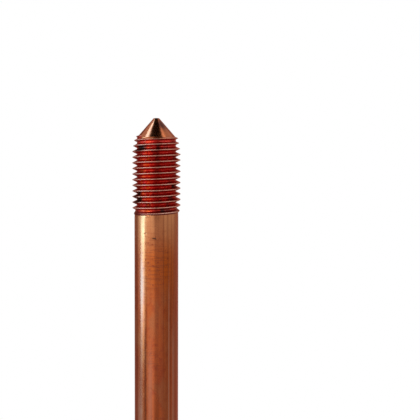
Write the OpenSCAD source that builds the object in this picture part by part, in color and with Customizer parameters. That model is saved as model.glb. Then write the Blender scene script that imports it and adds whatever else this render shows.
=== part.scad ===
// Earth rod: a drawn round rod with a rolled thread at each end, one end pointed and one end flat.
// The rod stands along Z, with the middle of its flat end at the origin and its point upwards.

/* [Rod] */
// Length from the flat end to the tip of the point
rod_length = 1200; // [600:10:3000]
// Diameter of the drawn shank
shank_d = 14.2; // [13:0.1:15.2]

/* [Rolled thread] */
// Distance from one crest to the next
pitch = 1.814; // [1.4:0.001:2.4]
// Diameter over the crests
crest_d = 15.6; // [14.4:0.1:17]
// Diameter at the roots
root_d = 12.6; // [11.6:0.1:13.4]
// Width of the flat along each crest
crest_flat = 0.18; // [0.1:0.01:0.4]
// Width of the flat along each root
root_flat = 0.2; // [0.1:0.01:0.4]
// Turns in which the groove rises out of its depth into the shank
runout_turns = 1.5; // [0.5:0.1:3]
// Share of a full flank's width that the flank next to the shank has
lip_share = 0.6; // [0.3:0.05:1]
// Turns in which the ridge first rises from the end of the blank
start_turns = 0.1; // [0.1:0.1:1.5]
// Turns after that in which the ridge grows to its full height
lead_turns = 3; // [1:0.1:5]
// Turns over which the end of the ridge is pressed back
press_turns = 1.6; // [1:0.1:3]

/* [Pointed end] */
// Length of the thread from the shank to the foot of the cone
point_thread = 26.2; // [15:0.1:60]
// Angle across the cone
point_angle = 82; // [60:1:100]
// Diameter of the small flat at the tip
tip_d = 1.8; // [1:0.1:4]
// Height to which the ridge climbs the cone
point_climb = 0.87; // [0:0.01:2]
// Share of the full height that the ridge has after its first rise
point_fill = 0.35; // [0.2:0.05:0.6]
// How far the end of the ridge is pressed back towards the shank
point_press = 0.6; // [0:0.05:0.9]
// Bearing at which the groove ends in the shank
point_bearing = 36; // [0:1:359]

/* [Flat end] */
// Length of the thread from the shank to the chamfer
flat_thread = 27; // [15:0.1:60]
// Angle across the chamfer
chamfer_angle = 90; // [60:1:120]
// Width of the chamfer from the root to the end face
chamfer_w = 0.45; // [0.3:0.05:1.5]
// Share of the full height that the ridge has after its first rise
flat_fill = 0.7; // [0.2:0.05:1]
// Bearing at which the groove ends in the shank
flat_bearing = 0; // [0:1:359]

/* [Hidden] */

copper = [0.72, 0.43, 0.24];
shank_sides = 96;
turn_sides = 40;

// Depth to which a threaded end is rooted in the shank
root_in = 1;
// How far the threaded end's skin lies under the skin of the shank and of the taper where it meets them
skin_step = 0.03;
// Height in which the thread's strip closes against the shank below it and the taper above it
meet = 0.1;
// Least width of a flank, as a share of a full one, where the ridge dies out
thin = 0.15;

shank_r = shank_d / 2;
seat_r = shank_r - skin_step;
root_r = root_d / 2;
thread_depth = (crest_d - root_d) / 2;
flank_w = (pitch - crest_flat - root_flat) / 2;

// Share of the ridge's height at each of its edges: foot, crest, crest and foot, from below to above
edge_rise = [0, 1, 1, 0];
edges = len(edge_rise);
top_edge = edges - 1;

point_slope = tan(point_angle / 2);
point_len = point_thread + (root_r - tip_d / 2) / point_slope;
chamfer_slope = tan(chamfer_angle / 2);
flat_len = flat_thread + chamfer_w / chamfer_slope;

// Share of the full depth that the groove has t turns after it leaves the shank
function run_share(t) = max(0, min(1, t / runout_turns));

// Share of the full height that the ridge has with so many turns left to its end
function lead_share(left, first_fill) =
    max(0, min(
        1,
        first_fill * left / start_turns,
        first_fill + (1 - first_fill) * (left - start_turns) / lead_turns
    ));

// How far the ridge is pressed back with so many turns left to its end
function press_back(left, press) = press * pow(max(0, 1 - left / press_turns), 2);

// Radius at height z of a blank that tapers above cone_z
function blank_r(z, cone_z, slope) = min(root_r, root_r - (z - cone_z) * slope);

// Radius of the groove's floor at height z, t turns after it leaves the shank
function floor_r(t, z, cone_z, slope) =
    blank_r(z, cone_z, slope) + (seat_r - root_r) * (1 - run_share(t));

// Half width of the ridge at its foot, above its crest, and below it over a groove that has run for t turns
function foot_half(lead) = crest_flat / 2 + flank_w * max(thin, lead);
function low_half(lead, t) =
    crest_flat / 2 + flank_w * max(thin, lead) * (lip_share + (1 - lip_share) * run_share(t));

// Triangles of a patch, from the numbers of the corners round it
function fan(ids) = [for (k = [1 : len(ids) - 2]) [ids[0], ids[k], ids[k + 1]]];

// Corners of a level ring, the number of one of them, and the triangles between two rings
function ring_points(r, z, bearing) = [
    for (k = [0 : turn_sides - 1])
        let (a = bearing + 360 * k / turn_sides)
        [r * cos(a), r * sin(a), z]
];
function on_ring(ring, i) = ring + i % turn_sides;
function ring_wall(low, high) = [
    for (k = [0 : turn_sides - 1])
        each fan([on_ring(low, k), on_ring(high, k), on_ring(high, k + 1), on_ring(low, k + 1)])
];

// Number of a corner of the strip. The edge past the top one is the lowest edge of the next turn
function corner(i, edge) = edge < edges ? edges * i + edge : edges * (i + turn_sides);

// One rolled thread as a closed solid, from inside the shank at z = 0 up to plain_z on the taper.
// The ridge is a strip of four edges that winds round the axis, and each turn shares its
// lowest edge with the turn below it. Level rings close the strip at both ends.
module rolled_thread(steps, cone_z, slope, first_fill, press, bearing, plain_z) {
    turns = steps / turn_sides;
    collar_z = plain_z - meet / 2;
    collar_r = blank_r(collar_z, cone_z, slope) - skin_step;
    cap_z = plain_z + meet;
    cap_r = blank_r(cap_z, cone_z, slope) - skin_step;

    // The groove under the ridge is a turn older than the one above it
    strip = [
        for (i = [0 : steps], edge = [0 : top_edge])
            let (
                t = i / turn_sides,
                run = run_share(t),
                left = turns - t,
                lead = lead_share(left, first_fill),
                crest = crest_flat / 2,
                middle = meet + pitch * (t + 0.5) - press_back(left, press),
                z = middle + [-low_half(lead, t - 1), -crest, crest, foot_half(lead)][edge],
                ridge = edge_rise[edge] * thread_depth * min(run, lead),
                r = floor_r(edge == 0 ? t - 1 : t, z, cone_z, slope) + ridge,
                a = bearing + 360 * t
            )
            [r * cos(a), r * sin(a), z]
    ];
    base_ring = len(strip);
    foot_ring = base_ring + turn_sides;
    collar_ring = foot_ring + turn_sides;
    cap_ring = collar_ring + turn_sides;

    winding = [
        for (i = [0 : steps - 1], edge = [0 : top_edge])
            if (edge < top_edge || i + turn_sides < steps)
                each fan([
                    corner(i, edge),
                    corner(i, edge + 1),
                    corner(i + 1, edge + 1),
                    corner(i + 1, edge)
                ])
    ];
    foot_wall = [
        for (k = [0 : turn_sides - 1])
            each fan([
                on_ring(foot_ring, k),
                corner(k, 0),
                corner(k + 1, 0),
                if (k == turn_sides - 1) each [for (edge = [top_edge : -1 : 0]) corner(0, edge)],
                on_ring(foot_ring, k + 1)
            ])
    ];
    collar_wall = [
        for (i = [steps - turn_sides : steps - 1])
            each fan([
                corner(i + 1, top_edge),
                corner(i, top_edge),
                if (i == steps - turn_sides) each [for (edge = [0 : top_edge]) corner(steps, edge)],
                on_ring(collar_ring, i),
                on_ring(collar_ring, i + 1)
            ])
    ];
    base_face = [for (k = [0 : turn_sides - 1]) base_ring + k];
    cap_face = [for (k = [turn_sides - 1 : -1 : 0]) cap_ring + k];

    polyhedron(
        points = concat(
            strip,
            ring_points(seat_r, -root_in, bearing),
            ring_points(seat_r, meet, bearing),
            ring_points(collar_r, collar_z, bearing),
            ring_points(cap_r, cap_z, bearing)
        ),
        faces = concat(
            winding,
            ring_wall(base_ring, foot_ring),
            foot_wall,
            collar_wall,
            ring_wall(collar_ring, cap_ring),
            [base_face, cap_face]
        )
    );
}

// A threaded end, standing on the shank at z = 0, on a blank that tapers from the root down to end_r
module threaded_end(thread_len, slope, end_r, climb, first_fill, press, bearing) {
    last_foot = meet + pitch / 2 + foot_half(first_fill) - press;
    steps = floor(turn_sides * (thread_len + climb - last_foot) / pitch);
    plain_z = last_foot + pitch * steps / turn_sides + meet;
    plain_r = blank_r(plain_z, thread_len, slope);
    end_z = thread_len + (root_r - end_r) / slope;

    rolled_thread(steps, thread_len, slope, first_fill, press, bearing, plain_z);
    translate([0, 0, plain_z])
        cylinder(h = end_z - plain_z, r1 = plain_r, r2 = end_r, $fn = shank_sides);
}

module earth_rod() {
    color(copper) {
        translate([0, 0, flat_len])
            cylinder(h = rod_length - point_len - flat_len, r = shank_r, $fn = shank_sides);
        translate([0, 0, rod_length - point_len])
            threaded_end(
                point_thread, point_slope, tip_d / 2, point_climb, point_fill, point_press, point_bearing
            );
        translate([0, 0, flat_len])
            rotate([180, 0, 0])
                threaded_end(flat_thread, chamfer_slope, root_r - chamfer_w, 0, flat_fill, 0, flat_bearing);
    }
}

earth_rod();
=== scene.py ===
"""Looks of an earth rod: its fine skin, its copper finishes, a plain studio and the camera."""

import logging
import math
from collections.abc import Iterable, Sequence
from dataclasses import dataclass, field, replace
from enum import Enum

import bmesh
import bpy
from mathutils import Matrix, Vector


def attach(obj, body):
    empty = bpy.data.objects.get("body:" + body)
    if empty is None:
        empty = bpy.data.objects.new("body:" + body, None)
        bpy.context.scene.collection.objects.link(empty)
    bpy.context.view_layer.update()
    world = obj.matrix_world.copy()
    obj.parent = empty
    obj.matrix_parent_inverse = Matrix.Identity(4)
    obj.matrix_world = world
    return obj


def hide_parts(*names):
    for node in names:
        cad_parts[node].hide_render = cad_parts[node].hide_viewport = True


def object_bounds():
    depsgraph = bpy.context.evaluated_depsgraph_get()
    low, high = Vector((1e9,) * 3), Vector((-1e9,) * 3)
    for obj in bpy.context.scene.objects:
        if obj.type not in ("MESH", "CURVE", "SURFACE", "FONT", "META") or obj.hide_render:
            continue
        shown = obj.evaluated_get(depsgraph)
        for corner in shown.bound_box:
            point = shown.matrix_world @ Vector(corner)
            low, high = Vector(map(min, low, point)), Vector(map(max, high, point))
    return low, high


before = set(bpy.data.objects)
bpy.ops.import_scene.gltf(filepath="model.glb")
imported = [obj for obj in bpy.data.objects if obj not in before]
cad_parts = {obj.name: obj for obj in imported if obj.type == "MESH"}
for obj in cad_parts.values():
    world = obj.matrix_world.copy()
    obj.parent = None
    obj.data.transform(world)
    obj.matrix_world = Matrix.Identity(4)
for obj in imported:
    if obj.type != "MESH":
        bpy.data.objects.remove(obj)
CAD_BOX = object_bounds()

LOG = logging.getLogger("earth_rod")
NODE = "earth_rod"
MM = 0.001

# Radii of the shank and of the thread's crests and roots
SHANK_R = 7.1 * MM
CREST_R = 7.8 * MM
ROOT_R = 6.3 * MM
# Corners in one turn round the rod
SIDES = 160
# Height in which the thread closes against the shank below it and the taper above it
MEET = 0.1 * MM
# How far the thread's blank lies under the skin of the shank
SKIN_STEP = 0.03 * MM
# Least height of a face between the last ridge and the foot of the taper
LEAST_RISE = 0.02 * MM

Colour = tuple[float, float, float]
Socket = bpy.types.NodeSocket

# Tint of copper where it is seen at a grazing angle
RIM_TINT: Colour = (1.0, 0.72, 0.68)
# Roughness of the thin clear film on the metal
COAT_ROUGHNESS = 0.16
# Range in which most of a noise's values lie
NOISE_RANGE = (0.3, 0.7)
# Waves of the crests' unevenness: radians in a turn, and where each wave starts
CREST_WAVES = ((6.9, 0.0), (17.3, 1.1), (41.7, 2.3))


class Zone(Enum):
    """Stretches of the rod's skin, by the finish that each one has."""

    SHANK = 0
    THREAD = 1
    CUT = 2
    # The first turn of the ridge, whose darker colours are painted shade
    LIP = 3


class RodEnd(Enum):
    """The two forms of a threaded end."""

    POINTED = 1
    FLAT = -1


class Mask(Enum):
    """Values that the mesh holds at its corners, for the finishes to read."""

    WORN = "worn"
    YOUNG = "young"
    # Lines along the shank, and painted highlight that whitens the lamp's reflection
    STREAK = "streak"
    # Real stains, together with painted shade in some grooves and a painted dark band down the front of the
    # thread
    STAIN = "stain"
    # Painted light: an orange glow in the grooves on the lit side of the thread
    EMBER = "ember"
    GOLD = "gold"
    SCUFF = "scuff"
    MOTTLE = "mottle"
    NICK = "nick"


class Join(Enum):
    """Ways to join two values in a material."""

    SUM = "ADD"
    PRODUCT = "MULTIPLY"
    LARGER = "MAXIMUM"


def front_angle(bearing: float) -> float:
    """Turns a bearing into an angle about Z.

    Args:
        bearing: Degrees from the rod's front, which faces -Y, towards +X.

    Returns:
        The angle from +X in radians.
    """
    return math.radians(bearing - 90)


def turned(angle: float) -> float:
    """Brings an angle in degrees into the range from -180 to 180."""
    return (angle + 180) % 360 - 180


def even_levels(start: float, end: float, step: float) -> set[float]:
    """Divides a stretch evenly.

    Args:
        start: Where the stretch starts.
        end: Where it ends, which isn't one of the levels.
        step: About how far apart the levels are.

    Returns:
        The levels.
    """
    count = round((end - start) / step)
    return {start + (end - start) * k / count for k in range(count)}


def flutter(t: float) -> float:
    """Gives a slow unevenness that never repeats over the thread's turns.

    Args:
        t: Turns from the start of the groove.

    Returns:
        A share from 0 to 1.
    """
    waves = sum(math.sin(rate * t + start) for rate, start in CREST_WAVES)
    return (1 + waves / len(CREST_WAVES)) / 2


def new_object(name: str, data: bpy.types.ID) -> bpy.types.Object:
    """Adds an object to the scene.

    Args:
        name: Name of the object.
        data: Its mesh, lamp or camera.

    Returns:
        The object.
    """
    thing = bpy.data.objects.new(name, data)
    bpy.context.scene.collection.objects.link(thing)
    return thing


@dataclass(frozen=True)
class Grain:
    """A noise, by the size of a grain across and along the rod, in metres, and its number of finer layers."""

    across: float
    along: float
    layers: float


class NodeSheet:
    """Short calls that lay out the nodes of one material, or of the room."""

    def __init__(self, owner: bpy.types.Material | bpy.types.World) -> None:
        """Starts with no node but the last one.

        Args:
            owner: The material or the room.
        """
        self.owner = owner
        owner.use_nodes = True
        self.tree = owner.node_tree
        self.tree.nodes.clear()
        end = "World" if isinstance(owner, bpy.types.World) else "Material"
        self.output = self.add(f"ShaderNodeOutput{end}")

    def add(self, kind: str) -> bpy.types.Node:
        """Adds a node of that kind."""
        return self.tree.nodes.new(kind)

    def feed(self, socket: Socket, value: object) -> None:
        """Links a socket to another one, or sets its own value.

        Args:
            socket: The input to feed.
            value: An output socket, a number, a vector or a colour.
        """
        if isinstance(value, Socket):
            self.tree.links.new(value, socket)
        elif socket.type == "RGBA":
            socket.default_value = (*value, 1.0)
        else:
            socket.default_value = value

    def place(self) -> Socket:
        """Gives the place on the rod, in metres."""
        return self.add("ShaderNodeTexCoord").outputs["Object"]

    def split(self, vector: Socket) -> Sequence[Socket]:
        """Takes a vector apart.

        Args:
            vector: The vector.

        Returns:
            Its X, Y and Z.
        """
        node = self.add("ShaderNodeSeparateXYZ")
        self.feed(node.inputs[0], vector)
        return node.outputs

    def radius(self, vector: Socket) -> Socket:
        """Measures the distance from the rod's axis.

        Args:
            vector: The place on the rod.

        Returns:
            The distance in metres.
        """
        flat = self.add("ShaderNodeVectorMath")
        flat.operation = "MULTIPLY"
        self.feed(flat.inputs[0], vector)
        self.feed(flat.inputs[1], (1, 1, 0))
        length = self.add("ShaderNodeVectorMath")
        length.operation = "LENGTH"
        self.feed(length.inputs[0], flat.outputs[0])
        return length.outputs["Value"]

    def noise(self, vector: Socket, grain: Grain) -> Socket:
        """Lays a noise that may be drawn out along the rod.

        Args:
            vector: The place on the rod.
            grain: The noise's grain.

        Returns:
            A value that is mostly in NOISE_RANGE.
        """
        mapping = self.add("ShaderNodeMapping")
        self.feed(mapping.inputs["Vector"], vector)
        mapping.inputs["Scale"].default_value = (1 / grain.across, 1 / grain.across, 1 / grain.along)
        node = self.add("ShaderNodeTexNoise")
        self.feed(node.inputs["Vector"], mapping.outputs[0])
        node.inputs["Scale"].default_value = 1
        node.inputs["Detail"].default_value = grain.layers
        return node.outputs["Fac"]

    def span(self, value: Socket, low: float, high: float, start: float = 0, end: float = 1) -> Socket:
        """Maps a value from one range to another, held at its ends.

        Args:
            value: The value to map.
            low: Where the range starts.
            high: Where the range ends.
            start: What the start becomes.
            end: What the end becomes.

        Returns:
            The mapped value.
        """
        node = self.add("ShaderNodeMapRange")
        node.interpolation_type = "SMOOTHSTEP"
        for name, number in zip(("Value", "From Min", "From Max", "To Min", "To Max"),
                                (value, low, high, start, end)):
            self.feed(node.inputs[name], number)
        return node.outputs[0]

    def maths(self, join: Join, a: object, b: object) -> Socket:
        """Joins two values.

        Args:
            join: How they are joined.
            a: The first value.
            b: The second value.

        Returns:
            The result.
        """
        node = self.add("ShaderNodeMath")
        node.operation = join.value
        self.feed(node.inputs[0], a)
        self.feed(node.inputs[1], b)
        return node.outputs[0]

    def mix(self, share: object, a: object, b: object) -> Socket:
        """Blends two colours.

        Args:
            share: Share of the second colour.
            a: The first colour.
            b: The second colour.

        Returns:
            The blended colour.
        """
        node = self.add("ShaderNodeMix")
        node.data_type = "RGBA"
        colours = [s for s in node.inputs if s.type == "RGBA"]
        self.feed(node.inputs[0], share)
        self.feed(colours[0], a)
        self.feed(colours[1], b)
        return next(s for s in node.outputs if s.type == "RGBA")

    def layered(self, base: Colour, layers: Iterable[tuple[Socket, Colour]]) -> Socket:
        """Lays colours over one another.

        Args:
            base: The colour below them all.
            layers: How much of each colour shows, and the colour, from the lowest upwards.

        Returns:
            The colour that is left to see.
        """
        colour = base
        for share, layer in layers:
            colour = self.mix(share, colour, layer)
        return colour

    def mask(self, mask: Mask) -> Socket:
        """Reads one of the mesh's masks.

        Args:
            mask: The mask.

        Returns:
            The mask's value.
        """
        node = self.add("ShaderNodeAttribute")
        node.attribute_name = mask.value
        return node.outputs["Fac"]

    def bump(self, height: Socket, strength: float, depth: float) -> Socket:
        """Turns a height into a normal.

        Args:
            height: The height, from 0 to 1.
            strength: How much of the bump shows.
            depth: How deep the bump is, in metres.

        Returns:
            The bumped normal.
        """
        node = self.add("ShaderNodeBump")
        node.inputs["Strength"].default_value = strength
        node.inputs["Distance"].default_value = depth
        self.feed(node.inputs["Height"], height)
        return node.outputs[0]

    def close(self, shader: bpy.types.Node) -> bpy.types.Material | bpy.types.World:
        """Ends the sheet in a shader, and gives what the sheet belongs to."""
        self.feed(self.output.inputs["Surface"], shader.outputs[0])
        return self.owner

    def metal(self, colour: object, roughness: object, normal: Socket, coat: float) -> bpy.types.Material:
        """Ends the sheet in a metal.

        Args:
            colour: Colour of the metal.
            roughness: Roughness of the metal.
            normal: Normal with the surface's bump.
            coat: Weight of the thin clear film on the metal.

        Returns:
            The finished material.
        """
        shader = self.add("ShaderNodeBsdfPrincipled")
        shader.inputs["Metallic"].default_value = 1.0
        shader.inputs["Coat Weight"].default_value = coat
        shader.inputs["Coat Roughness"].default_value = COAT_ROUGHNESS
        self.feed(shader.inputs["Specular Tint"], RIM_TINT)
        self.feed(shader.inputs["Base Color"], colour)
        self.feed(shader.inputs["Roughness"], roughness)
        self.feed(shader.inputs["Normal"], normal)
        return self.close(shader)


@dataclass(frozen=True)
class DrawnCopper:
    """Satin copper of the shank: lines from the drawing die, mottling, and scuffs from handling, with painted
    light in a paler top and in a whiter highlight along some streaks.
    """

    name: str = "drawn_copper"
    body: Colour = (0.4, 0.08, 0.015)
    # Paler tone near the top of the shank: painted light, in place of the brighter reflection there
    pale: Colour = (0.5, 0.2, 0.08)
    dusky: Colour = (0.36, 0.118, 0.042)
    ruddy: Colour = (0.3, 0.045, 0.01)
    gold: Colour = (0.43, 0.084, 0.002)
    # Paler tone of the streaks, which also whitens the strip lamp's reflection as painted highlight
    bloom_and_sheen: Colour = (0.39, 0.175, 0.118)
    dark: Colour = (0.17, 0.034, 0.011)
    fleck: Colour = (0.18, 0.022, 0.006)
    nick: Colour = (0.03, 0.012, 0.016)
    lines: Grain = Grain(0.22 * MM, 60 * MM, 6)
    bands: Grain = Grain(1.6 * MM, 160 * MM, 3)
    clouds: Grain = Grain(5 * MM, 11 * MM, 6)
    blotches: Grain = Grain(1.3 * MM, 1.9 * MM, 6)
    scuffs: Grain = Grain(5 * MM, 0.22 * MM, 4)
    flecks: Grain = Grain(0.8 * MM, 0.9 * MM, 2)
    # Heights over which the painted paler top fades in
    pale_from: float = 1.15
    pale_to: float = 1.168
    roughness: tuple[float, float] = (0.18, 0.28)
    dulling: float = 0.1
    relief: float = 0.25
    relief_depth: float = 0.02 * MM
    coat: float = 0.28

    def material(self) -> bpy.types.Material:
        """Builds the material.

        Returns:
            The finished material.
        """
        sheet = NodeSheet(bpy.data.materials.new(self.name))
        place = sheet.place()
        height = sheet.split(place)[2]
        lines = sheet.noise(place, self.lines)
        bands = sheet.noise(place, self.bands)
        cloud = sheet.noise(place, self.clouds)
        blotch = sheet.noise(place, self.blotches)
        scuff = sheet.noise(place, self.scuffs)
        scuffed = sheet.maths(Join.PRODUCT, sheet.span(scuff, 0.5, 0.64), sheet.mask(Mask.SCUFF))
        fleck = sheet.noise(place, self.flecks)
        flecked = sheet.maths(Join.PRODUCT, sheet.span(fleck, 0.6, 0.7), sheet.mask(Mask.SCUFF))

        ruddy = sheet.maths(Join.SUM, sheet.span(blotch, 0.44, 0.66, end=0.7), sheet.mask(Mask.MOTTLE))
        # Die lines, and painted highlight along the strip lamp's reflection
        streak = sheet.mask(Mask.STREAK)
        colour = sheet.layered(self.body, (
            (sheet.span(ruddy, 0.1, 1, end=0.85), self.ruddy),
            # Painted light: paler towards the top of the shank
            (sheet.span(height, self.pale_from, self.pale_to), self.pale),
            (sheet.span(cloud, 0.45, 0.66, end=0.7), self.dusky),
            (sheet.span(sheet.mask(Mask.GOLD), 0, 1, end=0.85), self.gold),
            (sheet.span(bands, 0.35, 0.6, start=0.45, end=0), self.dark),
            (sheet.span(lines, 0.3, 0.52, start=0.45, end=0), self.dark),
            (scuffed, self.dark),
            (flecked, self.fleck),
            (sheet.span(streak, 0, 1), self.bloom_and_sheen),
            (sheet.span(streak, 0, -1), self.dark),
            (sheet.mask(Mask.NICK), self.nick),
        ))

        wear = sheet.span(cloud, 0.4, 0.7, end=self.dulling)
        roughness = sheet.maths(Join.SUM, sheet.span(lines, *NOISE_RANGE, *self.roughness), wear)
        grain = sheet.maths(Join.SUM, lines, scuffed)
        normal = sheet.bump(grain, self.relief, self.relief_depth)
        return sheet.metal(colour, roughness, normal, self.coat)


@dataclass(frozen=True)
class RolledCopper:
    """Red copper of the rolled thread, worn bright along its crests, with a glow painted into the grooves of
    its lit side and shade painted into some grooves.
    """

    name: str = "rolled_copper"
    groove: Colour = (0.45, 0.022, 0.014)
    flank: Colour = (0.47, 0.034, 0.02)
    # Orange of the glow painted into the lit grooves, in place of the lamps' reflection there
    ember: Colour = (0.52, 0.1, 0.006)
    crest: Colour = (0.52, 0.27, 0.2)
    # Near-black of stains, and of the shade painted into some grooves
    stain: Colour = (0.02, 0.008, 0.006)
    young: Colour = (0.42, 0.12, 0.04)
    grain: Grain = Grain(0.5 * MM, 0.5 * MM, 6)
    clouds: Grain = Grain(2.4 * MM, 1.6 * MM, 4)
    blotches: Grain = Grain(1.1 * MM, 1.1 * MM, 2)
    flank_r: float = 7.5 * MM
    worn_from: float = 0.8
    worn_to: float = 0.98
    roughness: tuple[float, float] = (0.26, 0.38)
    dulling: float = 0.16
    relief: float = 0.05
    relief_depth: float = 0.02 * MM
    coat: float = 0.16

    def material(self) -> bpy.types.Material:
        """Builds the material.

        Returns:
            The finished material.
        """
        sheet = NodeSheet(bpy.data.materials.new(self.name))
        place = sheet.place()
        radius = sheet.radius(place)
        grain = sheet.noise(place, self.grain)
        cloud = sheet.noise(place, self.clouds)
        blotch = sheet.noise(place, self.blotches)

        # Painted glow in the lit grooves, broken into patches
        ember = sheet.maths(Join.PRODUCT, sheet.mask(Mask.EMBER), sheet.span(blotch, 0.42, 0.6))
        worn = sheet.span(sheet.mask(Mask.WORN), self.worn_from, self.worn_to)
        worn = sheet.maths(Join.PRODUCT, worn, sheet.span(grain, 0.3, 0.55, start=0.8))
        colour = sheet.layered(self.groove, (
            (sheet.span(radius, ROOT_R, self.flank_r), self.flank),
            (ember, self.ember),
            (sheet.span(cloud, 0.5, 0.75, end=0.6), self.stain),
            (worn, self.crest),
            (sheet.span(sheet.mask(Mask.YOUNG), 0, 1), self.young),
            # Stains and painted shade from the mesh's mask
            (sheet.span(sheet.mask(Mask.STAIN), 0.1, 0.6), self.stain),
        ))

        matt = sheet.span(worn, 0, 1, end=self.dulling)
        roughness = sheet.maths(Join.SUM, sheet.span(grain, *NOISE_RANGE, *self.roughness), matt)
        normal = sheet.bump(grain, self.relief, self.relief_depth)
        return sheet.metal(colour, roughness, normal, self.coat)


@dataclass(frozen=True)
class CutCopper:
    """Bright copper of the turned point and the cut faces."""

    name: str = "cut_copper"
    body: Colour = (0.34, 0.095, 0.034)
    dusky: Colour = (0.25, 0.06, 0.02)
    # Dark of the mask's stains and painted shade
    stain: Colour = (0.06, 0.014, 0.008)
    rings: Grain = Grain(8 * MM, 0.12 * MM, 4)
    clouds: Grain = Grain(1.8 * MM, 1.8 * MM, 5)
    roughness: tuple[float, float] = (0.17, 0.22)
    relief: float = 0.03
    relief_depth: float = 0.01 * MM
    coat: float = 0.14

    def material(self) -> bpy.types.Material:
        """Builds the material.

        Returns:
            The finished material.
        """
        sheet = NodeSheet(bpy.data.materials.new(self.name))
        place = sheet.place()
        rings = sheet.noise(place, self.rings)
        cloud = sheet.noise(place, self.clouds)
        colour = sheet.layered(self.body, (
            (sheet.span(cloud, 0.45, 0.7, end=0.8), self.dusky),
            # Stains and painted shade from the mesh's mask
            (sheet.span(sheet.mask(Mask.STAIN), 0, 1), self.stain),
        ))
        roughness = sheet.span(rings, *NOISE_RANGE, *self.roughness)
        normal = sheet.bump(rings, self.relief, self.relief_depth)
        return sheet.metal(colour, roughness, normal, self.coat)


FINISHES: dict[Zone, DrawnCopper | RolledCopper | CutCopper] = {
    Zone.SHANK: DrawnCopper(),
    Zone.THREAD: RolledCopper(),
    Zone.CUT: CutCopper(),
    # Painted shade: the first turn has darker colours than the rest of the thread, and a dimmer painted glow
    Zone.LIP: RolledCopper(
        "shaded_lip_copper", groove=(0.3, 0.02, 0.012), flank=(0.16, 0.012, 0.008), ember=(0.3, 0.03, 0.012),
        flank_r=7.3 * MM,
    ),
}


def write_mask(mesh: bpy.types.Mesh, mask: Mask, values: Sequence[float]) -> None:
    """Writes a mask's values to the corners of a mesh."""
    mesh.attributes.new(mask.value, "FLOAT", "POINT").data.foreach_set("value", values)


@dataclass
class Skin:
    """The rod's one closed skin: its corners with their masks, and its faces with their finishes."""

    corners: list[Vector] = field(default_factory=list)
    masks: dict[Mask, list[float]] = field(default_factory=lambda: {Mask.WORN: [], Mask.YOUNG: []})
    faces: list[tuple[int, ...]] = field(default_factory=list)
    zones: list[Zone] = field(default_factory=list)
    creases: set[frozenset[int]] = field(default_factory=set)

    def add(self, points: Iterable[Vector], masks: dict[Mask, list[float]] | None = None) -> list[int]:
        """Adds corners.

        Args:
            points: Where the corners are.
            masks: The corners' values in the skin's masks, or None where they are zero.

        Returns:
            The numbers of the new corners.
        """
        first = len(self.corners)
        self.corners.extend(points)
        new = range(first, len(self.corners))
        for mask, values in self.masks.items():
            values.extend(masks[mask] if masks else [0.0] * len(new))
        return list(new)

    def face(self, ids: Sequence[int], zone: Zone) -> None:
        """Adds one face."""
        self.faces.append(tuple(ids))
        self.zones.append(zone)

    def wall(self, low: Sequence[int], high: Sequence[int], zone: Zone) -> None:
        """Joins two rings that have as many corners."""
        for k in range(-1, len(low) - 1):
            self.face((low[k], low[k + 1], high[k + 1], high[k]), zone)

    def cap(self, ring: Sequence[int], middle: Vector, zone: Zone) -> None:
        """Closes a ring towards a corner in its middle.

        Args:
            ring: The ring.
            middle: Where the corner is.
            zone: The finish of the cap.
        """
        centre = self.add([middle])[0]
        for k in range(-1, len(ring) - 1):
            self.face((ring[k], ring[k + 1], centre), zone)

    def crease(self, line: Sequence[int]) -> None:
        """Keeps the edge along a line of corners sharp."""
        self.creases |= {frozenset(pair) for pair in zip(line, line[1:])}

    def zip_up(self, left: Sequence[int], right: Sequence[int], zone: Zone) -> None:
        """Fills the strip between two columns of corners.

        Args:
            left: One column, from its foot upwards.
            right: The other column, from its foot upwards.
            zone: The finish of the strip.
        """
        foot = self.corners[left[0]].z
        a = b = 0
        while a < len(left) - 1 or b < len(right) - 1:
            if b == len(right) - 1:
                up_left = True
            elif a == len(left) - 1:
                up_left = False
            else:
                reach = [abs(self.corners[i].z - foot) for i in (left[a + 1], right[b + 1])]
                up_left = reach[0] <= reach[1]
            new = left[a + 1] if up_left else right[b + 1]
            self.face((left[a], right[b], new), zone)
            a, b = (a + 1, b) if up_left else (a, b + 1)

    def mesh(self, name: str) -> bpy.types.Mesh:
        """Makes the mesh.

        Args:
            name: Name of the mesh.

        Returns:
            A mesh that is smooth apart from its creases, and whose faces look outwards.
        """
        mesh = bpy.data.meshes.new(name)
        mesh.from_pydata(self.corners, [], self.faces)
        mesh.polygons.foreach_set("material_index", [zone.value for zone in self.zones])
        mesh.polygons.foreach_set("use_smooth", [True] * len(self.faces))
        work = bmesh.new()
        work.from_mesh(mesh)
        bmesh.ops.recalc_face_normals(work, faces=work.faces)
        for edge in work.edges:
            edge.smooth = frozenset(corner.index for corner in edge.verts) not in self.creases
        work.to_mesh(mesh)
        work.free()
        for mask, values in self.masks.items():
            write_mask(mesh, mask, values)
        return mesh


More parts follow.
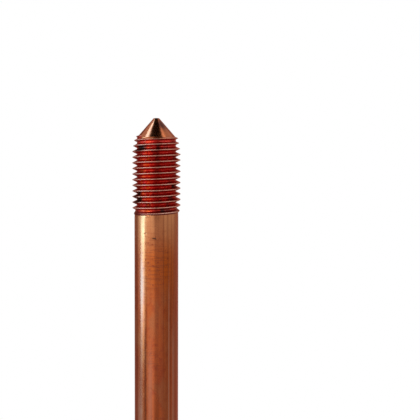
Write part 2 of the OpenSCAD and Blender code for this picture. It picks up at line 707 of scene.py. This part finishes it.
@dataclass(frozen=True)
class ThreadForm:
    """The rolled right-hand thread that both ends share."""

    pitch: float = 1.814 * MM
    crest_r: float = CREST_R
    root_r: float = ROOT_R
    seat_r: float = SHANK_R - SKIN_STEP
    crest_flat: float = 0.18 * MM
    root_flat: float = 0.2 * MM
    runout_turns: float = 1.5
    lip_share: float = 0.6
    start_turns: float = 0.1
    lead_turns: float = 3.0
    press_turns: float = 1.6
    thin: float = 0.15
    unevenness: float = 0.015

    @property
    def depth(self) -> float:
        """Depth from crest to root."""
        return self.crest_r - self.root_r

    @property
    def flank(self) -> float:
        """Width of a flank along the rod."""
        return (self.pitch - self.crest_flat - self.root_flat) / 2

    def run_share(self, t: float) -> float:
        """Share of the full depth that the groove has, t turns after it leaves the shank."""
        return max(0.0, min(1.0, t / self.runout_turns))

    def lead_share(self, left: float, first_fill: float) -> float:
        """Gives the share of the full height that the ridge has near its end.

        Args:
            left: Turns left to the end of the ridge.
            first_fill: Share that the ridge has after its first rise.

        Returns:
            A share from 0 to 1.
        """
        rise = first_fill * left / self.start_turns
        growth = first_fill + (1 - first_fill) * (left - self.start_turns) / self.lead_turns
        return max(0.0, min(1.0, rise, growth))

    def press_share(self, left: float) -> float:
        """Share of its full way that the ridge is pressed back, with so many turns left to its end."""
        return max(0.0, 1 - left / self.press_turns) ** 2

    def foot_half(self, lead: float) -> float:
        """Half width of the ridge at its foot, above its crest."""
        return self.crest_flat / 2 + self.flank * max(self.thin, lead)

    def low_half(self, lead: float, t: float) -> float:
        """Half width of the ridge at its foot, below its crest, over a groove that has run for t turns."""
        share = self.lip_share + (1 - self.lip_share) * self.run_share(t)
        return self.crest_flat / 2 + self.flank * max(self.thin, lead) * share


# One turn of the ridge from below to above: the side of the crest, how far up the flank, and the rise there
RIDGE_HALF = ((0.0, 0.0), (0.12, 0.12), (0.86, 0.86), (0.95, 0.94), (1.0, 0.98))
RIDGE = (
    *((-1, share, rise) for share, rise in RIDGE_HALF),
    (0, 1.0, 1.0),
    *((1, share, rise) for share, rise in reversed(RIDGE_HALF)),
)


@dataclass(frozen=True)
class Lap:
    """A sliver of metal that the rolling left lying on the shank under the first ridge."""

    bearing: float = -22.0
    spread: float = 9.0
    rise: float = 0.1 * MM
    peak: float = 0.86
    fade: float = 0.1

    def rise_at(self, bearing: float, share: float) -> float:
        """Gives how far the sliver stands out.

        Args:
            bearing: Bearing on the rod, in degrees.
            share: Share of the way from the shank's end up to the ridge.

        Returns:
            The rise in metres.
        """
        across = turned(bearing - self.bearing) / self.spread
        along = (share - self.peak) / self.fade
        return self.rise * math.exp(-(across**4) - along**2)


@dataclass(frozen=True)
class ThreadedEnd:
    """One end of the rod: a rolled thread on a blank that tapers to a small flat or a broad face."""

    kind: RodEnd
    thread_len: float
    taper_angle: float
    end_r: float
    first_fill: float
    climb: float = 0.0
    press: float = 0.0
    start_bearing: float = 0.0
    lap: Lap | None = None
    shank_z: float = 0.0
    form: ThreadForm = ThreadForm()
    edge_round: float = 0.1 * MM
    first_wear: float = 0.4
    wear_growth: float = 1.28
    young_run: float = 0.25
    foot_shares: tuple[float, ...] = (0.4, 0.64, 0.76, 0.86, 0.94)
    taper_shares: tuple[float, ...] = (0.03, 0.3, 0.6)
    face_share: float = 0.5
    round_share: float = 0.2

    @property
    def slope(self) -> float:
        """How fast the taper narrows along the rod."""
        return math.tan(math.radians(self.taper_angle / 2))

    @property
    def length(self) -> float:
        """Length from the shank to the end of the rod."""
        return self.thread_len + (self.form.root_r - self.end_r) / self.slope

    @property
    def start_step(self) -> int:
        """Step round the rod at which the groove ends in the shank."""
        return round(self.start_bearing / 360 * SIDES)

    def point(self, r: float, step: int, z: float) -> Vector:
        """Places a corner on the rod.

        Args:
            r: Distance from the axis.
            step: Steps round the rod from the start of the groove.
            z: Height from the shank towards the end.

        Returns:
            The corner in the rod's frame.
        """
        angle = 2 * math.pi * (self.start_step + step) / SIDES
        side = self.kind.value
        return Vector((r * math.cos(angle), side * r * math.sin(angle), self.shank_z + side * z))

    def ring(self, skin: Skin, r: float, z: float) -> list[int]:
        """Adds a level ring of corners."""
        return skin.add(self.point(r, k, z) for k in range(SIDES))

    def blank_r(self, z: float) -> float:
        """Radius of the blank at a height."""
        return self.form.root_r - max(0.0, z - self.thread_len) * self.slope

    def floor_r(self, t: float, z: float) -> float:
        """Radius of the groove's floor at a height, t turns after it leaves the shank."""
        rest = 1 - self.form.run_share(t)
        return self.blank_r(z) + (self.form.seat_r - self.form.root_r) * rest

    def section(self, step: int, steps: int) -> list[Vector]:
        """Gives the corners of the ridge at one step of its winding.

        Args:
            step: The step from the start of the groove.
            steps: How many steps the ridge has in all.

        Returns:
            The corners from below to above.
        """
        form = self.form
        t = step / SIDES
        run = form.run_share(t)
        left = (steps - step) / SIDES
        lead = form.lead_share(left, self.first_fill)
        crest = form.crest_flat / 2
        ridge = form.depth * min(run, lead) * (1 - form.unevenness * flutter(t))
        centre = MEET + form.pitch * (t + 0.5) - self.press * form.press_share(left)
        points = []
        for side, share, rise in RIDGE:
            foot = form.low_half(lead, t - 1) if side < 0 else form.foot_half(lead)
            z = centre + side * (crest + (foot - crest) * (1 - share))
            floor = self.floor_r(t - 1 if side < 0 else t, z)
            top = self.floor_r(t, z) + ridge
            points.append(self.point(floor + (top - floor) * rise, step, z))
        return points

    def section_masks(self, step: int) -> dict[Mask, list[float]]:
        """Gives the masks of the corners at one step of the ridge's winding.

        Args:
            step: The step from the start of the groove.

        Returns:
            How worn the corners are, which is most on the crest, and how little the ridge has risen there.
        """
        run = self.form.run_share(step / SIDES)
        worn = min(1.0, self.first_wear + self.wear_growth * run)
        young = max(0.0, 1 - run / self.young_run)
        return {Mask.WORN: [rise * worn for _, _, rise in RIDGE], Mask.YOUNG: [young] * len(RIDGE)}

    def foot_rows(self, skin: Skin, strip: Sequence[Sequence[int]]) -> list[list[int]]:
        """Adds the rows between the shank and the lowest edge of the first turn.

        Args:
            skin: The skin to add to.
            strip: The ridge's corners, step by step.

        Returns:
            The rows from the shank upwards, without the ridge's own edge.
        """
        rows = [self.ring(skin, self.form.seat_r + SKIN_STEP, SKIN_STEP)]
        for share in self.foot_shares:
            row = []
            for k in range(SIDES):
                edge = skin.corners[strip[k][0]]
                z = SKIN_STEP + (abs(edge.z - self.shank_z) - SKIN_STEP) * share
                bearing = math.degrees(math.atan2(edge.x, -edge.y))
                rise = self.lap.rise_at(bearing, share) if self.lap else 0.0
                row.append(self.point(self.form.seat_r + SKIN_STEP * (1 - share) + rise, k, z))
            rows.append(skin.add(row))
        return rows

    def build(self, skin: Skin) -> list[int]:
        """Adds the end to the skin.

        Args:
            skin: The skin to add to.

        Returns:
            The ring on which the end meets the shank, in steps of the whole rod.
        """
        form = self.form
        last_foot = MEET + form.pitch / 2 + form.foot_half(self.first_fill) - self.press
        steps = math.floor(SIDES * (self.thread_len + self.climb - last_foot) / form.pitch)
        strip = [skin.add(self.section(i, steps), self.section_masks(i)) for i in range(steps + 1)]
        top = len(RIDGE) - 1

        for i in range(steps):
            for k in range(top):
                corners = (strip[i][k], strip[i + 1][k], strip[i + 1][k + 1], strip[i][k + 1])
                skin.face(corners, self.ridge_zone(i, k, steps))
        for i in range(steps - SIDES):
            above = i + SIDES
            skin.face((strip[i][top], strip[i + 1][top], strip[above + 1][0], strip[above][0]), Zone.THREAD)

        rows = self.foot_rows(skin, strip)
        self.close_foot(skin, strip, rows)
        self.close_taper(skin, strip, last_foot + form.pitch * steps / SIDES + MEET)
        shift = self.start_step
        return [rows[0][(self.kind.value * k - shift) % SIDES] for k in range(SIDES)]

    def ridge_zone(self, step: int, k: int, steps: int) -> Zone:
        """Gives the finish of one face of the ridge.

        Args:
            step: The step of the face along the winding.
            k: The place of the face across the ridge, from below to above.
            steps: How many steps the ridge has in all.

        Returns:
            The lip's finish on the first turn, the taper's above the last crest, the thread's in between.
        """
        if step < SIDES:
            return Zone.LIP
        if step >= steps - SIDES and k >= len(RIDGE) // 2:
            return Zone.CUT
        return Zone.THREAD

    def close_foot(self, skin: Skin, strip: Sequence[Sequence[int]], rows: list[list[int]]) -> None:
        """Joins the first turn of the ridge to the shank.

        Args:
            skin: The skin to add to.
            strip: The ridge's corners, step by step.
            rows: The rows under the ridge.
        """
        columns = [[row[k] for row in rows] + [strip[k][0]] for k in range(SIDES)]
        for left, right in zip(columns, columns[1:]):
            for k in range(len(rows)):
                skin.face((left[k], right[k], right[k + 1], left[k + 1]), Zone.SHANK)
        seam = columns[0] + list(strip[0][1:]) + [strip[SIDES][0]]
        skin.zip_up(columns[-1], seam, Zone.SHANK)

    def close_taper(self, skin: Skin, strip: Sequence[Sequence[int]], plain_z: float) -> None:
        """Joins the last turn of the ridge to the taper.

        Args:
            skin: The skin to add to.
            strip: The ridge's corners, step by step.
            plain_z: Height at which the taper is plain.
        """
        steps = len(strip) - 1
        collar = self.ring(skin, self.blank_r(plain_z), plain_z)
        first = steps - SIDES
        columns = []
        for i in range(first + 1, steps + 1):
            edge = strip[i][-1]
            rise = abs(skin.corners[edge].z - self.shank_z)
            bare = self.thread_len - rise > LEAST_RISE
            knee = skin.add([self.point(self.form.root_r, i, self.thread_len)]) if bare else []
            columns.append([edge, *knee, collar[i % SIDES]])
        columns.insert(0, [strip[first][-1], *strip[steps][:-1], *columns[-1]])
        skin.crease([row[-1] for row in strip[first:]])
        skin.crease([column[-2] for column in columns])
        for left, right in zip(columns, columns[1:]):
            skin.zip_up(left, right, Zone.CUT)
        self.close_end(skin, collar, plain_z)

    def close_end(self, skin: Skin, collar: list[int], plain_z: float) -> None:
        """Adds the plain taper, and closes the end of the rod.

        Args:
            skin: The skin to add to.
            collar: The ring at which the taper is plain.
            plain_z: Height of that ring.
        """
        end_z = self.length
        soft = self.edge_round
        below = [plain_z + (end_z - plain_z) * share for share in self.taper_shares]
        edge = [(self.blank_r(z), z) for z in (*below, end_z - soft)]
        corner = soft * self.round_share
        face = [(self.end_r - corner, end_z - corner), (self.end_r - soft, end_z)]
        face.append((self.end_r * self.face_share, end_z))
        low = collar
        for r, z in (*edge, *face):
            high = self.ring(skin, r, z)
            skin.wall(low, high, Zone.CUT)
            low = high
        skin.cap(low, self.point(0, 0, end_z), Zone.CUT)


@dataclass(frozen=True)
class Mark:
    """A small nick or scratch in the shank."""

    bearing: float
    below_tip: float
    length: float
    width: float
    depth: float
    tilt: float = 0.0
    bright_depth: float = 0.03 * MM
    black_depth: float = 0.11 * MM
    row_reach: float = 1.2
    rows: int = 6

    def depth_at(self, bearing: float, below_tip: float) -> float:
        """Gives how deep the mark is at a place on the shank.

        Args:
            bearing: Bearing of the place, in degrees.
            below_tip: Distance of the place below the rod's tip.

        Returns:
            The depth in metres.
        """
        side = SHANK_R * math.radians(turned(bearing - self.bearing))
        up = self.below_tip - below_tip
        lean = math.radians(self.tilt)
        along = (side * math.cos(lean) + up * math.sin(lean)) / (self.length / 2)
        across = (up * math.cos(lean) - side * math.sin(lean)) / (self.width / 2)
        return self.depth * math.exp(-(along**4) - across**2)

    def tone_at(self, bearing: float, below_tip: float) -> float:
        """Gives how dark the mark is at a place on the rod."""
        beyond = self.depth_at(bearing, below_tip) - self.bright_depth
        return max(0.0, min(1.0, beyond / (self.black_depth - self.bright_depth)))

    def heights(self) -> list[float]:
        """Says where the shank needs rows of corners for this mark.

        Returns:
            The rows' distances below the tip.
        """
        lean = math.radians(self.tilt)
        reach = self.width * self.row_reach + abs(math.sin(lean)) * self.length / 2
        return [self.below_tip + reach * (k / self.rows - 1) for k in range(2 * self.rows + 1)]


@dataclass(frozen=True)
class Streak:
    """A line along the shank, paler above zero and darker below: mostly lines left by the drawing die, and
    some paler ones painted highlight along the lamp's reflection.
    """

    bearing: float
    width: float
    tone: float
    from_below_tip: float = 0.0
    fade_in: float = 20 * MM

    def tone_at(self, bearing: float, below_tip: float) -> float:
        """Gives the tone of the streak at a place on the shank.

        Args:
            bearing: Bearing of the place, in degrees.
            below_tip: Distance of the place below the rod's tip.

        Returns:
            The tone, above zero for paler and below zero for darker.
        """
        across = turned(bearing - self.bearing) / self.width
        fade = max(0.0, min(1.0, (below_tip - self.from_below_tip) / self.fade_in + 1))
        return self.tone * fade * math.exp(-(across**2))


@dataclass(frozen=True)
class Patch:
    """A soft-edged patch on the rod, such as a deposit, a golden tint or a scuffed stretch, or painted light:
    a glow in lit grooves, a whiter highlight, shade in a groove.
    """

    bearing: float
    below_tip: float
    spread: float
    reach: float
    tone: float = 1.0

    def tone_at(self, bearing: float, below_tip: float) -> float:
        """Gives how strong the patch is at a place on the rod.

        Args:
            bearing: Bearing of the place, in degrees.
            below_tip: Distance of the place below the rod's tip.

        Returns:
            The strength, which is the patch's own tone at its middle.
        """
        across = turned(bearing - self.bearing) / self.spread
        along = (below_tip - self.below_tip) / self.reach
        return self.tone * math.exp(-(across**2) - along**2)


@dataclass
class EarthRod:
    """The rod as one piece: drawn shank, threaded point and threaded flat end."""

    length: float
    pointed: ThreadedEnd = ThreadedEnd(
        RodEnd.POINTED, thread_len=26.2 * MM, taper_angle=82, end_r=0.9 * MM, first_fill=0.35,
        climb=0.87 * MM, press=0.6 * MM, start_bearing=36, lap=Lap(),
    )
    flat: ThreadedEnd = ThreadedEnd(
        RodEnd.FLAT, thread_len=27 * MM, taper_angle=90, end_r=5.85 * MM, first_fill=0.7
    )
    row_step: float = 10 * MM
    marked_step: float = 2.5 * MM
    marked_reach: float = 80 * MM
    marks: tuple[Mark, ...] = (
        Mark(-6, 38.0 * MM, 1.4 * MM, 0.32 * MM, 0.12 * MM, -6),
        Mark(-30, 36.6 * MM, 0.9 * MM, 0.25 * MM, 0.06 * MM, 10),
        Mark(-9, 86.4 * MM, 2.0 * MM, 0.3 * MM, 0.06 * MM, -45),
        Mark(-12, 73.1 * MM, 3.6 * MM, 0.3 * MM, 0.01 * MM, 4),
        Mark(18, 78.5 * MM, 5.0 * MM, 0.3 * MM, 0.015 * MM, -3),
    )
    # Paler and darker lines along the shank, and painted highlight along the strip lamp's reflection
    streaks_and_sheen: tuple[Streak | Patch, ...] = (
        # Painted highlight: whitens the strip lamp's reflection in the middle rows
        Patch(-41, 52 * MM, 9, 10 * MM, 0.45),
        Streak(-54, 14.0, 0.4, 90 * MM),
        # Painted highlight: whitens the strip lamp's reflection lower down
        Streak(-43, 7.0, 0.33, 54 * MM),
        Streak(-29.5, 3.0, -1.0, 76 * MM),
        Streak(-16, 9.0, 0.38, 80 * MM),
        Streak(26, 3.5, -0.4, 56 * MM),
        Streak(33.8, 2.0, 1.0, 62 * MM),
        Streak(40, 2.2, -0.8, 60 * MM),
        Streak(48, 4.5, 0.62, 74 * MM),
        Streak(56, 4.0, 0.25),
    )
    # Dark patches: real stains and deposits, and painted shade in some grooves
    stains_and_shade: tuple[Patch, ...] = (
        Patch(35, 2.1 * MM, 36, 1.7 * MM, 1.2),
        Patch(-50, 9.9 * MM, 20, 0.75 * MM),
        # Painted shade in a groove at the front
        Patch(9, 9.6 * MM, 10, 0.6 * MM, 0.4),
        # Painted dark band down the front of the thread, in place of a dark reflection there
        Patch(3, 11.5 * MM, 7, 4.5 * MM, 0.25),
        Patch(-62, 24.6 * MM, 12, 0.7 * MM),
        Patch(-60, 26.4 * MM, 16, 0.7 * MM),
        Patch(14, 29.4 * MM, 7, 0.5 * MM, 0.45),
        # These three: painted shade in the grooves on the shaded right-hand side
        Patch(32, 29.2 * MM, 19, 0.5 * MM, 0.48),
        Patch(46, 25.8 * MM, 16, 0.5 * MM, 0.62),
        Patch(58, 22.0 * MM, 9, 0.5 * MM, 0.85),
    )
    # Where the painted orange glow lies, in the grooves on the lit left side
    painted_glows: tuple[Patch, ...] = (Patch(-26, 21 * MM, 9, 16 * MM), Patch(-45, 21 * MM, 8, 16 * MM, 0.8))
    mottles: tuple[Patch, ...] = (Patch(12, 84 * MM, 12, 8 * MM), Patch(2, 53 * MM, 20, 6 * MM, 0.5))
    golds: tuple[Patch, ...] = (Patch(12, 47.5 * MM, 46, 9 * MM),)
    scuffs: tuple[Patch, ...] = (
        Patch(-5, 46 * MM, 45, 9 * MM),
        Patch(-10, 76 * MM, 30, 6 * MM, 0.5),
    )

    def build(self) -> bpy.types.Object:
        """Builds the rod's mesh as one closed skin.

        Returns:
            The rod, dressed and riding on the frame.
        """
        skin = Skin()
        pointed = replace(self.pointed, shank_z=self.length - self.pointed.length)
        flat = replace(self.flat, shank_z=self.flat.length)
        top = pointed.build(skin)
        bottom = flat.build(skin)
        self.add_shank(skin, bottom, top, flat.shank_z, pointed.shank_z)
        mesh = skin.mesh(NODE)
        self.paint(mesh)
        rod = new_object("earth_rod_skin", mesh)
        self.dress(rod)
        return rod

    def add_shank(
        self, skin: Skin, bottom: Sequence[int], top: Sequence[int], low_z: float, high_z: float
    ) -> None:
        """Adds the drawn shank between the two ends.

        Args:
            skin: The skin to add to.
            bottom: Ring of the flat end.
            top: Ring of the pointed end.
            low_z: Height at which the shank starts.
            high_z: Height at which the shank ends.
        """
        marked_z = high_z - self.marked_reach
        levels = even_levels(low_z, marked_z, self.row_step) | even_levels(marked_z, high_z, self.marked_step)
        levels |= {low_z + SKIN_STEP, high_z - SKIN_STEP, high_z}
        for mark in self.marks:
            levels |= {self.length - below for below in mark.heights()}
        low = bottom
        for z in sorted(levels):
            high = skin.add(self.shank_ring(z))
            skin.wall(low, high, Zone.SHANK)
            low = high
        skin.wall(low, top, Zone.SHANK)

    def shank_ring(self, z: float) -> list[Vector]:
        """Gives one ring of the shank, with the marks in it.

        Args:
            z: Height of the ring.

        Returns:
            The ring's corners.
        """
        ring = []
        for k in range(SIDES):
            angle = 2 * math.pi * k / SIDES
            bearing = math.degrees(angle) + 90
            below = self.length - z
            r = SHANK_R - sum(mark.depth_at(bearing, below) for mark in self.marks)
            ring.append(Vector((r * math.cos(angle), r * math.sin(angle), z)))
        return ring

    def paint(self, mesh: bpy.types.Mesh) -> None:
        """Writes the strength of each kind of mark, and of the painted light and shade, to the mesh's
        corners.

        Args:
            mesh: The rod's mesh.
        """
        layers = {
            # The streaks also carry painted highlight, the stains also painted shade, and the glow is painted
            # light
            Mask.STREAK: self.streaks_and_sheen,
            Mask.STAIN: self.stains_and_shade,
            Mask.EMBER: self.painted_glows,
            Mask.GOLD: self.golds,
            Mask.SCUFF: self.scuffs,
            Mask.MOTTLE: self.mottles,
            Mask.NICK: self.marks,
        }
        for mask, spots in layers.items():
            values = []
            for corner in mesh.vertices:
                bearing = math.degrees(math.atan2(corner.co.x, -corner.co.y))
                below = self.length - corner.co.z
                values.append(sum(spot.tone_at(bearing, below) for spot in spots))
            write_mask(mesh, mask, values)

    def dress(self, rod: bpy.types.Object) -> None:
        """Gives the rod its finishes and ties it to the frame.

        Args:
            rod: The rod.
        """
        for zone in Zone:
            rod.data.materials.append(FINISHES[zone].material())
        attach(rod, "root")
        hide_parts(NODE)


@dataclass(frozen=True)
class SoftBox:
    """A soft lamp, hung by its direction from the rod's upper end, in degrees, with its sizes in metres."""

    name: str
    azimuth: float
    elevation: float
    distance: float
    width: float
    height: float
    radiance: float
    colour: Colour = (1.0, 1.0, 1.0)

    def hang(self, aim: Vector) -> bpy.types.Object:
        """Hangs the lamp so that it faces a point.

        Args:
            aim: The point that the lamp faces.

        Returns:
            The lamp.
        """
        lamp = bpy.data.lights.new(self.name, "AREA")
        lamp.shape = "RECTANGLE"
        lamp.size = self.width
        lamp.size_y = self.height
        lamp.color = self.colour
        lamp.energy = self.radiance * math.pi * self.width * self.height
        angle = front_angle(self.azimuth)
        rise = math.radians(self.elevation)
        way = Vector((math.cos(angle) * math.cos(rise), math.sin(angle) * math.cos(rise), math.sin(rise)))
        box = new_object(self.name, lamp)
        box.location = aim + way * self.distance
        box.rotation_euler = (-way).to_track_quat("-Z", "Y").to_euler()
        return box


@dataclass(frozen=True)
class Card:
    """A curved screen round the rod, between two bearings, that the metal reflects in place of the room."""

    name: str
    start: float
    end: float
    radius: float
    low: float
    high: float
    tone: Colour
    parts: int = 24

    def stand(self) -> bpy.types.Object:
        """Stands the screen up.

        Returns:
            The screen.
        """
        corners = []
        for k in range(self.parts + 1):
            angle = front_angle(self.start + (self.end - self.start) * k / self.parts)
            spot = (self.radius * math.cos(angle), self.radius * math.sin(angle))
            corners += [(*spot, self.low), (*spot, self.high)]
        faces = [(2 * k, 2 * k + 2, 2 * k + 3, 2 * k + 1) for k in range(self.parts)]
        return stage_mesh(self.name, corners, faces, glow(self.name, self.tone))


@dataclass(frozen=True)
class Flag:
    """A level dark sheet above the rod."""

    name: str
    left: float
    right: float
    front: float
    back: float
    height: float
    tone: Colour

    def hang(self) -> bpy.types.Object:
        """Hangs the sheet.

        Returns:
            The sheet.
        """
        corners = [
            (x, y, self.height)
            for x, y in ((self.left, self.front), (self.right, self.front),
                         (self.right, self.back), (self.left, self.back))
        ]
        return stage_mesh(self.name, corners, [(0, 1, 2, 3)], glow(self.name, self.tone))


def glow(name: str, tone: Colour) -> bpy.types.Material:
    """Makes the even tone of a screen.

    Args:
        name: Name of the material.
        tone: Colour that the screen shows in the metal.

    Returns:
        The material.
    """
    sheet = NodeSheet(bpy.data.materials.new(name))
    shader = sheet.add("ShaderNodeEmission")
    sheet.feed(shader.inputs["Color"], tone)
    return sheet.close(shader)


def stage_mesh(
    name: str, corners: Sequence[tuple], faces: Sequence[tuple], material: bpy.types.Material
) -> bpy.types.Object:
    """Adds a screen that only reflections show.

    Args:
        name: Name of the screen.
        corners: Its corners.
        faces: Its faces.
        material: Its tone.

    Returns:
        The screen.
    """
    mesh = bpy.data.meshes.new(name)
    mesh.from_pydata(corners, [], faces)
    mesh.materials.append(material)
    screen = new_object(name, mesh)
    screen.visible_camera = False
    screen.visible_diffuse = False
    screen.visible_shadow = False
    return screen


@dataclass
class Studio:
    """Plain pale floor, white room, soft lamps, and the screens that the metal reflects."""

    tip_z: float
    aim_below_tip: float = 30 * MM
    floor_r: float = 2.4
    floor_sides: int = 96
    floor_fade: float = 1.0
    floor_tone: Colour = (0.82, 0.82, 0.81)
    room_level: float = 0.55
    boxes: tuple[SoftBox, ...] = (
        SoftBox("key_box", -30, 4, 1.2, 0.9, 1.3, 0.36, (1.0, 0.95, 0.86)),
        SoftBox("fill_box", -54, 8, 0.8, 0.32, 0.4, 0.7, (1.0, 1.0, 0.9)),
        SoftBox("strip_box", -76, -6, 0.55, 0.23, 0.26, 8.4, (0.28, 0.69, 1.0)),
        SoftBox("groove_box", -46, 29, 0.9, 0.5, 0.2, 8.5),
        SoftBox("side_box", 58, 29, 0.9, 1.0, 0.2, 3.75, (0.65, 0.88, 1.0)),
        SoftBox("top_box", -109, 61, 1.0, 0.19, 0.2, 15.0, (0.24, 0.58, 1.0)),
        SoftBox("glint_box", 100, 68, 1.0, 0.3, 0.2, 1.2),
    )
    cards: tuple[Card, ...] = (
        Card("front_card", -11, 14, 1.4, 0.0, 1.9, (0.98, 0.89, 0.82)),
        Card("camera_card", -13, 18, 1.2, 1.19, 2.3, (0.01, 0.008, 0.008)),
        Card("stand_card", -8, 18, 1.2, 0.0, 0.6, (0.04, 0.035, 0.035)),
        Card("near_card", 14, 36, 1.4, 0.0, 1.9, (0.9, 0.82, 0.75)),
        Card("right_low_card", 36, 110, 1.4, 0.0, 0.74, (0.62, 0.53, 0.46)),
        Card("right_card", 36, 110, 1.4, 0.74, 0.98, (0.5, 0.42, 0.36)),
        Card("right_high_card", 36, 110, 1.4, 0.98, 1.9, (0.8, 0.74, 0.7)),
        Card("back_card", 110, 180, 1.4, 0.0, 2.1, (0.52, 0.35, 0.28)),
        Card("back_left_card", 180, 245, 1.4, 0.0, 2.1, (0.36, 0.22, 0.17)),
        Card("low_card", -115, -52, 0.7, 0.0, 0.97, (0.6, 0.52, 0.48)),
    )
    flags: tuple[Flag, ...] = (
        Flag("top_flag", -0.24, 0.21, -0.35, 0.35, 1.8, (0.015, 0.012, 0.012)),
        Flag("back_flag", -0.08, 0.08, 0.35, 0.9, 1.8, (0.015, 0.012, 0.012)),
    )

    def build(self) -> None:
        """Builds the whole studio."""
        self.add_floor()
        self.light_room()
        aim = Vector((0, 0, self.tip_z - self.aim_below_tip))
        for box in self.boxes:
            box.hang(aim)
        for card in self.cards:
            card.stand()
        for flag in self.flags:
            flag.hang()

    def add_floor(self) -> None:
        """Lays the floor, which fades into the white room at its rim."""
        work = bmesh.new()
        bmesh.ops.create_circle(work, cap_ends=True, segments=self.floor_sides, radius=self.floor_r)
        mesh = bpy.data.meshes.new("floor")
        work.to_mesh(mesh)
        work.free()
        sheet = NodeSheet(bpy.data.materials.new("pale_floor"))
        paint = sheet.add("ShaderNodeBsdfDiffuse")
        sheet.feed(paint.inputs["Color"], self.floor_tone)
        clear = sheet.add("ShaderNodeBsdfTransparent")
        blend = sheet.add("ShaderNodeMixShader")
        sheet.feed(blend.inputs[0], sheet.span(sheet.radius(sheet.place()), self.floor_fade, self.floor_r))
        sheet.feed(blend.inputs[1], paint.outputs[0])
        sheet.feed(blend.inputs[2], clear.outputs[0])
        mesh.materials.append(sheet.close(blend))
        floor = new_object("floor", mesh)

    def light_room(self) -> None:
        """Makes the room white to the eye and in reflections, and a plain soft light elsewhere."""
        sheet = NodeSheet(bpy.data.worlds.new("white_room"))
        rays = sheet.add("ShaderNodeLightPath").outputs
        seen = sheet.maths(Join.LARGER, rays["Is Camera Ray"], rays["Is Glossy Ray"])
        seen = sheet.maths(Join.LARGER, seen, rays["Is Transmission Ray"])
        white = sheet.add("ShaderNodeBackground")
        sheet.feed(white.inputs["Color"], (1, 1, 1))
        sheet.feed(white.inputs["Strength"], sheet.span(seen, 0, 1, start=self.room_level))
        bpy.context.scene.world = sheet.close(white)


@dataclass(frozen=True)
class PhotoCamera:
    """The camera, close in front of the rod and level with its upper thread, looking slightly down."""

    tip_z: float
    distance: float = 209.8 * MM
    below_tip: float = 12.8 * MM
    pitch: float = -2.36
    lens: float = 55.7
    sensor: float = 36.0
    shift: tuple[float, float] = (0.1276, -0.06)
    clip_start: float = 10 * MM

    def place(self) -> bpy.types.Object:
        """Places the camera and makes it the scene's own.

        Returns:
            The camera.
        """
        data = bpy.data.cameras.new("photo_camera")
        data.lens = self.lens
        data.sensor_width = self.sensor
        data.shift_x, data.shift_y = self.shift
        data.clip_start = self.clip_start
        camera = new_object("photo_camera", data)
        camera.location = (0, -self.distance, self.tip_z - self.below_tip)
        camera.rotation_euler = (math.radians(90 + self.pitch), 0, 0)
        bpy.context.scene.camera = camera
        return camera


def main() -> None:
    """Builds the rod, the studio and the camera, and reports each piece."""
    logging.basicConfig(level=logging.INFO, format="%(name)s: %(message)s")
    bpy.context.scene.view_settings.view_transform = "Standard"
    tip_z = CAD_BOX[1].z
    rod = EarthRod(length=tip_z).build()
    LOG.info("%s has %d corners and %d faces", rod.name, len(rod.data.vertices), len(rod.data.polygons))
    Studio(tip_z).build()
    LOG.info("studio is lit")
    camera = PhotoCamera(tip_z).place()
    LOG.info("%s stands at %s", camera.name, tuple(round(x, 4) for x in camera.location))


if __name__ == "__main__":
    main()
